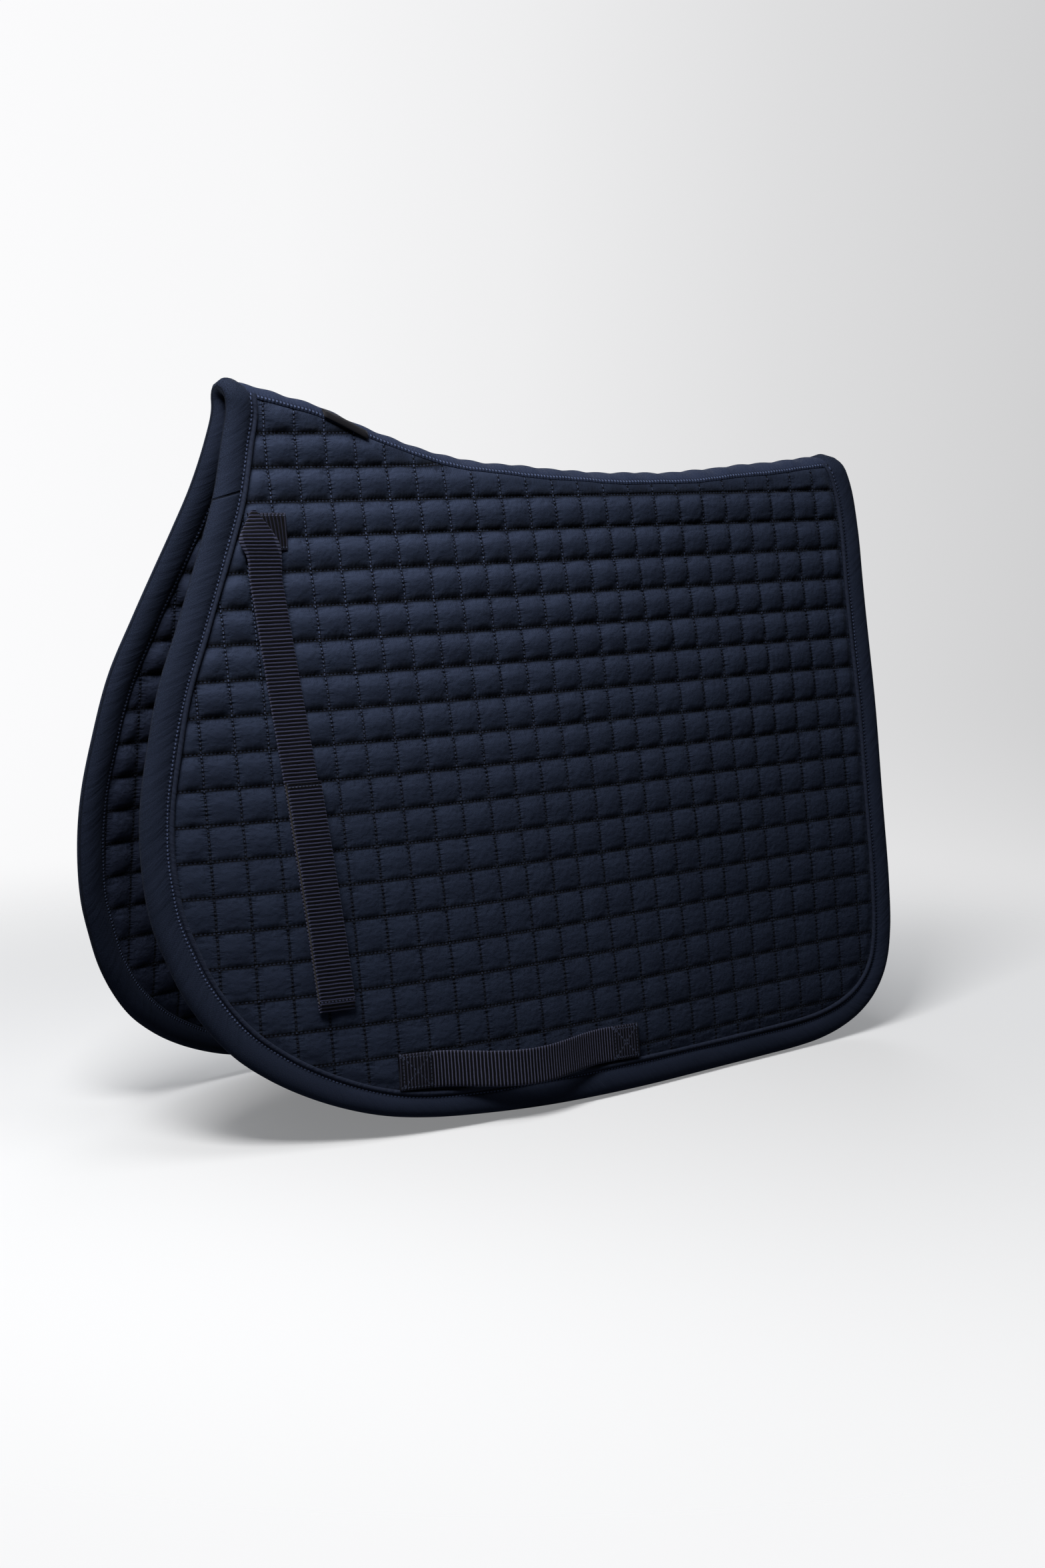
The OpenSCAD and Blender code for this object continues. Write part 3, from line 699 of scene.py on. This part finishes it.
def binding(name, side):
    prof = [(20.0, 2.2), (20.2, 3.1), (19.9, 3.8), (19.2, 4.15), (18.2, 3.95), (17.2, 4.3), (15.6, 5.2), (13.2, 5.95),
            (10.4, 6.4), (7.4, 6.4), (4.8, 5.9), (2.8, 4.9), (1.2, 3.4), (0.3, 1.7), (0, 0)]
    o = prof + [(a, -b) for a, b in prof[-2::-1]]
    D = np.array([p[0] for p in o]); H = np.array([p[1] for p in o])
    M, L = len(ES), len(o)
    ends = smooth(ES, 0, 25) * smooth(ES[-1] - ES, 0, 25)
    pts = np.empty((M, L, 3)); uv = np.empty((M, L, 2))
    for k in range(M):
        wide = 1 + ends[k] * (0.012 * ripple(ES[k], side, 1.0) + 0.02 * np.sin(ES[k] / 57.0 + side))
        d = D * wide * (1 - NARROW[k] / 20.0)
        full = smooth(D, 0, 6) * (1 - smooth(D, 15, 19))
        h = H + ends[k] * full * np.sign(H) * 0.22 * ripple(ES[k] + 0.9 * D, side, 0.3)
        u, w = off_edge(np.full(L, k), d)
        pts[k] = place(u, np.maximum(w, 0 if EW0[k] > 0 else 0), h, side)
        if EW0[k] <= 0:
            pts[k][:, 1] = 0
        uv[k, :, 0] = ES[k] + np.where(H < 0, 900, 0); uv[k, :, 1] = D
    return build(name, pts, quads(M, L, flip=side > 0), uv, MAT_BIND)


def tube(name, side, mat, r, dist, lift, k0, k1, n=12):
    ks = np.arange(k0, k1)
    th = np.arange(n) * 2 * math.pi / n
    pts = np.empty((len(ks), n, 3)); uv = np.empty((len(ks), n, 2))
    for i, k in enumerate(ks):
        rr = r * (1 + 0.05 * ripple(ES[k], side, 2.0))
        off = 0.25 * np.sin(ES[k] / 31.0 + side)
        u, w = off_edge(np.full(n, k), dist + off - NARROW[k] + rr * np.cos(th))
        pts[i] = place(u, np.maximum(w, 0.2), lift + rr * np.sin(th), side)
        uv[i, :, 0] = ES[k]; uv[i, :, 1] = np.arange(n) * 2 * math.pi * r / n
    return build(name, pts, quads(len(ks), n, closed=True, flip=side < 0), uv, mat)


def web_strip(name, side, left, right, h0, thick, mat, v_sub=None, n_across=12, uv0=0.0, lift=None, extra=None):
    """Webbing between two edge lines given as flat (u, v) points; h0 is the height of its underside along it."""
    left, right = np.array(left, float), np.array(right, float)
    mid = (left + right) / 2
    s = np.r_[0, np.cumsum(np.linalg.norm(np.diff(mid, axis=0), axis=1))]
    n = max(3, int(s[-1] / 1.6))
    ss = np.linspace(0, s[-1], n + 1)
    f = lambda p: np.stack([np.interp(ss, s, p[:, 0]), np.interp(ss, s, p[:, 1])], 1)
    L, R = f(left), f(right)
    for _ in range(6):
        L[1:-1] = (L[:-2] + 2 * L[1:-1] + L[2:]) / 4
        R[1:-1] = (R[:-2] + 2 * R[1:-1] + R[2:]) / 4
    H = np.interp(ss, s, np.array(h0, float)) if hasattr(h0, "__len__") else np.full(n + 1, float(h0))
    for _ in range(4):
        H[1:-1] = (H[:-2] + 2 * H[1:-1] + H[2:]) / 4
    t = np.linspace(0, 1, n_across + 1)
    top = np.r_[0.0, 0.012, t[1:-1], 0.988, 1.0]
    th = thick * np.r_[0.55, 0.88, np.ones(len(t) - 2), 0.88, 0.55]
    bot = np.r_[0.45, 0.12, np.zeros(len(t) - 2), 0.12, 0.45] * thick
    X = np.r_[top, top[::-1]]
    T = np.r_[th, bot[::-1]]
    U = L[:, :1] + (R - L)[:, :1] * X; V = L[:, 1:] + (R - L)[:, 1:] * X
    arch = 0.25 * np.sin(ss / 37.0 + 1.1)[:, None] * (1 - (2 * X - 1) ** 2)
    P = at(U, V, H[:, None] + T + arch, side)
    wd = np.linalg.norm(R - L, axis=1)[:, None]
    uv = np.stack([(X - 0.5) * np.maximum(wd, 25.5), np.broadcast_to(ss[:, None] + uv0, U.shape)], -1)
    m_ = len(X)
    faces = quads(n + 1, m_, closed=True, flip=side > 0).tolist()
    cap0 = list(range(m_)); cap1 = [n * m_ + i for i in range(m_)]
    faces += [cap0 if side < 0 else cap0[::-1], cap1[::-1] if side < 0 else cap1]
    return build(name, P, faces, uv, mat)


for side in (-1, 1):
    s = "left" if side < 0 else "right"
    # quilted outer and lining
    ob = panel(s + "_quilted_shell", side, True, 12 if side < 0 else 10)
    bind_to(ob)
    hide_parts(s + "_ridge_shell", s + "_outer_shell", s + "_padding", s + "_ridge_padding")
    ob = panel(s + "_quilted_lining", side, False, 8 if side < 0 else 9)
    bind_to(ob)
    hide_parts(s + "_ridge_lining", s + "_lining")
    ob = binding(s + "_edge_binding", side)
    bind_to(ob)
    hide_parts(s + "_binding", "front_ridge_binding", "rear_ridge_binding")
    k0 = int(np.argmax(EW0 > 2.5)); k1 = len(ES) - int(np.argmax(EW0[::-1] > 2.5))
    ob = tube(s + "_edge_piping", side, MAT_PIPE, 1.75, 21.3, 3.9, k0, k1)
    bind_to(ob)
    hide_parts(s + "_piping", s + "_ridge_piping")
    # anchor patch
    ob = web_strip(s + "_anchor_patch", side, [(-243, 98), (-212.5, 98.6)], [(-235, 125), (-214, 125.5)], 5.3, 1.5, MAT_ANCHOR)
    bind_to(ob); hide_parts(s + "_strap_anchor")
    # billet strap with the turn under its anchor
    Lp = [(-240, 96.6), (-245.5, 104), (-251.5, 112.5), (-255, 119), (-250.5, 124.5), (-247.6, 131)]
    Rp = [(-236.5, 96.6), (-231, 104), (-225.5, 112.5), (-221, 120), (-220.6, 125.5), (-220.4, 132)]
    Hs = [6.6, 7.4, 8.2, 8.6, 8.3, 7.6]
    for v in np.r_[np.arange(145, 446, 15), 450.2]:
        Lp.append((strap_u(v) - 13, v)); Rp.append((strap_u(v) + 13, v)); Hs.append(6.3 + 0.5 * math.sin(v / 21.0))
    ob = web_strip(s + "_billet_webbing", side, Lp, Rp, Hs, 1.5, MAT_STRAP)
    p0, p1 = at(np.array([-236.0]), np.array([119.0]), 7.5, side)[0] * 0.001, at(np.array([-235.0]), np.array([137.0]), 7.5, side)[0] * 0.001
    tuple(p0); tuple(p1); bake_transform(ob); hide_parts(s + "_billet_strap")
    vs = np.arange(290, 449, 12.0)
    ob = web_strip(s + "_loop_strip", side, [(strap_u(v) - 12.6, v) for v in vs], [(strap_u(v) + 12.2, v) for v in vs], 8.05, 0.7, MAT_LOOP)
    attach(ob, s + "_strap"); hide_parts(s + "_loop_tape")
    ob = web_strip(s + "_hook_strip", side, [(strap_u(v) - 12.6, v) for v in vs], [(strap_u(v) + 12.2, v) for v in vs], 8.85, 0.75, MAT_HOOK)
    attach(ob, s + "_tab"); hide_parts(s + "_hook_tape")
    vs = np.r_[289, np.arange(292, 446, 12.0), 447.0, 450.6, 452.2]
    ob = web_strip(s + "_tab_strip", side, [(strap_u(v) - 12.4, v) for v in vs], [(strap_u(v) + 13.8, v) for v in vs],
                   [10.0, 9.75] + [9.7] * (len(vs) - 5) + [9.4, 7.6, 6.2], 1.5, MAT_TAB)
    # points at the end of the strap and on the tab just above its hem
    p0, p1 = at(np.array([strap_u(451.0)]), np.array([451.0]), 9.0, side)[0] * 0.001, at(np.array([strap_u(443.0)]), np.array([443.0]), 9.7, side)[0] * 0.001
    tuple(p0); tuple(p1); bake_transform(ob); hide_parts(s + "_tab_webbing")
    # girth keeper
    t = np.linspace(0, 1, 56)
    bow = np.sin(np.clip((t - 0.13) / 0.74, 0, 1) ** 0.85 * math.pi) ** 2
    kv = 501.8 + 8.6 * t + 5.5 * bow
    ku = -173.5 + 215.5 * t
    kh = 5.4 + 14.5 * np.sin(np.clip((t - 0.13) / 0.74, 0, 1) * math.pi) ** 2
    ob = web_strip(s + "_girth_keeper_webbing", side, np.stack([ku - 0.5, kv + 13], 1), np.stack([ku + 0.5, kv - 13], 1), kh, 1.6, MAT_KEEP)
    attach(ob, s + "_flap"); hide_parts(s + "_girth_keeper")


# ---- tape over the spine seam, outside and inside
def spine_tape(name, u0, u1, h0, thick, reach, mat, wave):
    n = int((u1 - u0) / 2.5)
    u = np.linspace(u0, u1, n + 1)
    q = np.linspace(-1, 1, 19)
    q = np.r_[-1.0, q, 1.0]
    sg = np.sign(h0)
    top = sg * thick * np.r_[0.1, 0.75, np.ones(len(q) - 4), 0.75, 0.1]
    W = np.sign(q) * reach * q * q
    U = np.broadcast_to(u[:, None], (n + 1, len(q)))
    bump = wave * (0.5 - 0.5 * np.cos(2 * math.pi * (U / SQ + 11.8))) + 0.25 * np.sin(U / 17.0) + 0.2 * np.sin(U / 9.1 + 4 * q)
    rim = np.abs(q) ** 4
    P = place(U, np.broadcast_to(W, U.shape) * (1 + 0.05 * np.sin(U / 13.0)), h0 + top + sg * (bump * (1 - rim) - 0.5 * rim), -1)
    across = np.sign(q) * np.abs(q) * 11.6
    uv = np.stack([U, np.broadcast_to(np.abs(across), U.shape)], -1)
    return build(name, P, quads(n + 1, len(q), flip=sg < 0), uv, mat)


ob = spine_tape("spine_tape_over", -236, 333, 3.8, 0.5, 6.3, MAT_TAPE, 0.9)
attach(ob, "spine"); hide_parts("spine_tape_outer")
ob = spine_tape("spine_tape_under", -234, 331, -4.6, 0.9, 5.4, MAT_TAPE, 0.6)
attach(ob, "spine"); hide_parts("spine_tape_inner")

n = 26
u = np.linspace(-171.5, -134.5, n)
W = np.array([2.6, 2.75, 4.4, 6.4, 6.6]); T = np.array([0.1, 0.8, 0.95, 0.8, 0.1])
U = np.broadcast_to(u[:, None], (n, 5))
W = W[None, :] + np.linspace(-0.4, 2.0, n)[:, None]
P = place(U, W, 5.7 + T * np.r_[0.2, np.ones(n - 2), 0.2][:, None] + 0.25 * np.sin(U / 9.0), -1)
ob = build("spine_label_plain", P, quads(n, 5), np.stack([U, np.broadcast_to(W, U.shape)], -1), MAT_LABEL)
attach(ob, "spine"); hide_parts("spine_label")

# ---------------------------------------------------------------- studio
me = bpy.data.meshes.new("floor")
me.from_pydata([(-9, -9, 0), (9, -9, 0), (9, 9, 0), (-9, 9, 0)], [], [(0, 1, 2, 3)])
floor = bpy.data.objects.new("floor", me)
SCENE.collection.objects.link(floor)
m = bpy.data.materials.new("floor_paper"); m.use_nodes = True
t = m.node_tree; b = t.nodes["Principled BSDF"]; out = t.nodes["Material Output"]
b.inputs["Base Color"].default_value = (0.565, 0.569, 0.575, 1); b.inputs["Roughness"].default_value = 0.9
b.inputs["Specular IOR Level"].default_value = 0.05
b.inputs["Emission Color"].default_value = (0.97, 0.98, 1.0, 1); b.inputs["Emission Strength"].default_value = 0.22
dim = t.nodes.new("ShaderNodeBsdfDiffuse"); dim.inputs[0].default_value = (0.14, 0.15, 0.17, 1)
lp = t.nodes.new("ShaderNodeLightPath"); m0 = t.nodes.new("ShaderNodeMixShader")
t.links.new(lp.outputs["Is Camera Ray"], m0.inputs[0]); t.links.new(dim.outputs[0], m0.inputs[1]); t.links.new(b.outputs[0], m0.inputs[2])
co = t.nodes.new("ShaderNodeTexCoord"); ln = t.nodes.new("ShaderNodeVectorMath"); ln.operation = "LENGTH"
mr = t.nodes.new("ShaderNodeMapRange"); mr.interpolation_type = "SMOOTHSTEP"
mr.inputs[1].default_value = 0.36; mr.inputs[2].default_value = 1.1
tr = t.nodes.new("ShaderNodeBsdfTransparent"); mx = t.nodes.new("ShaderNodeMixShader")
t.links.new(co.outputs["Object"], ln.inputs[0]); t.links.new(ln.outputs["Value"], mr.inputs[0])
t.links.new(mr.outputs[0], mx.inputs[0]); t.links.new(m0.outputs[0], mx.inputs[1]); t.links.new(tr.outputs[0], mx.inputs[2])
t.links.new(mx.outputs[0], out.inputs[0])
me.materials.append(m)

w = bpy.data.worlds.new("studio"); SCENE.world = w; w.use_nodes = True
t = w.node_tree; bg = t.nodes["Background"]; out = t.nodes["World Output"]
bg.inputs[0].default_value = (0.92, 0.95, 1.0, 1)
# soft fill from behind, so that the far side reads
cb = t.nodes.new("ShaderNodeTexCoord"); sb = t.nodes.new("ShaderNodeSeparateXYZ"); fb = t.nodes.new("ShaderNodeMapRange")
fb.interpolation_type = "SMOOTHSTEP"
fb.inputs[1].default_value = 0.25; fb.inputs[2].default_value = 0.95; fb.inputs[3].default_value = 0.035; fb.inputs[4].default_value = 1.0
t.links.new(cb.outputs["Generated"], sb.inputs[0]); t.links.new(sb.outputs[1], fb.inputs[0]); t.links.new(fb.outputs[0], bg.inputs[1])
bg2 = t.nodes.new("ShaderNodeBackground"); bg2.inputs[1].default_value = 1.0
# the backdrop is a little darker towards +X
co = t.nodes.new("ShaderNodeTexCoord"); dt = t.nodes.new("ShaderNodeVectorMath"); dt.operation = "DOT_PRODUCT"
dt.inputs[1].default_value = (0.797, -0.604, 0)
cr = t.nodes.new("ShaderNodeValToRGB"); mp = t.nodes.new("ShaderNodeMapRange")
mp.inputs[1].default_value = -0.24; mp.inputs[2].default_value = 0.24
el_ = cr.color_ramp.elements
for i, (p_, g_) in enumerate([(0.0, 252), (0.3, 247), (0.5, 238), (0.72, 222), (1.0, 205)]):
    e_ = el_[i] if i < 2 else el_.new(p_)
    e_.position = p_; e_.color = lin(g_, g_, g_ + 1)
t.links.new(co.outputs["Generated"], dt.inputs[0]); t.links.new(dt.outputs["Value"], mp.inputs[0])
low = t.nodes.new("ShaderNodeSeparateXYZ"); lz = t.nodes.new("ShaderNodeMapRange"); lz.interpolation_type = "SMOOTHSTEP"
lz.inputs[1].default_value = -0.10; lz.inputs[2].default_value = -0.30
fl = t.nodes.new("ShaderNodeMix"); fl.data_type = "RGBA"; fl.inputs[7].default_value = lin(247, 247, 248)
t.links.new(co.outputs["Generated"], low.inputs[0]); t.links.new(low.outputs[2], lz.inputs[0]); t.links.new(lz.outputs[0], fl.inputs[0])
t.links.new(mp.outputs[0], cr.inputs[0]); t.links.new(cr.outputs[0], fl.inputs[6]); t.links.new(fl.outputs[2], bg2.inputs[0])
lp = t.nodes.new("ShaderNodeLightPath"); mx = t.nodes.new("ShaderNodeMixShader")
t.links.new(lp.outputs["Is Camera Ray"], mx.inputs[0]); t.links.new(bg.outputs[0], mx.inputs[1]); t.links.new(bg2.outputs[0], mx.inputs[2])
t.links.new(mx.outputs[0], out.inputs[0])


def area(name, loc, target, size, power, colour=(1, 1, 1)):
    li = bpy.data.lights.new(name, "AREA"); li.shape = "RECTANGLE"
    li.size, li.size_y = size; li.energy = power; li.color = colour
    ob = bpy.data.objects.new(name, li); SCENE.collection.objects.link(ob)
    ob.location = loc
    ob.rotation_euler = (Vector(target) - Vector(loc)).to_track_quat("-Z", "Y").to_euler()
    return ob


area("key", (-0.74, -0.48, 1.36), (-0.12, 0, 0.25), (0.5, 0.4), 22.5, (1.0, 0.99, 0.98))
area("top", (-0.1, -0.3, 2.5), (0, 0, 0), (1.0, 0.8), 15)
area("rim", (1.6, 1.9, 1.7), (0, 0, 0.25), (1.0, 1.0), 10, (0.95, 0.97, 1.0))

az, el = -37.158, 8.43
cam = bpy.data.cameras.new("cam")
cam.sensor_fit = "VERTICAL"; cam.sensor_height = 36; cam.lens = 55.10
cam.clip_start = 0.05; cam.clip_end = 60
cob = bpy.data.objects.new("cam", cam); SCENE.collection.objects.link(cob)
fwd = Vector((-math.sin(math.radians(az)) * math.cos(math.radians(el)), math.cos(math.radians(az)) * math.cos(math.radians(el)), -math.sin(math.radians(el))))
right = Vector((math.cos(math.radians(az)), math.sin(math.radians(az)), 0))
up = right.cross(fwd)
M = Matrix((right, up, -fwd)).transposed().to_4x4()
M.translation = Vector((-1.1088, -1.4802, 0.4997))
cob.matrix_world = M
SCENE.camera = cob
SCENE.view_settings.view_transform = "Standard"
SCENE.view_settings.look = "None"
bpy.context.view_layer.update()
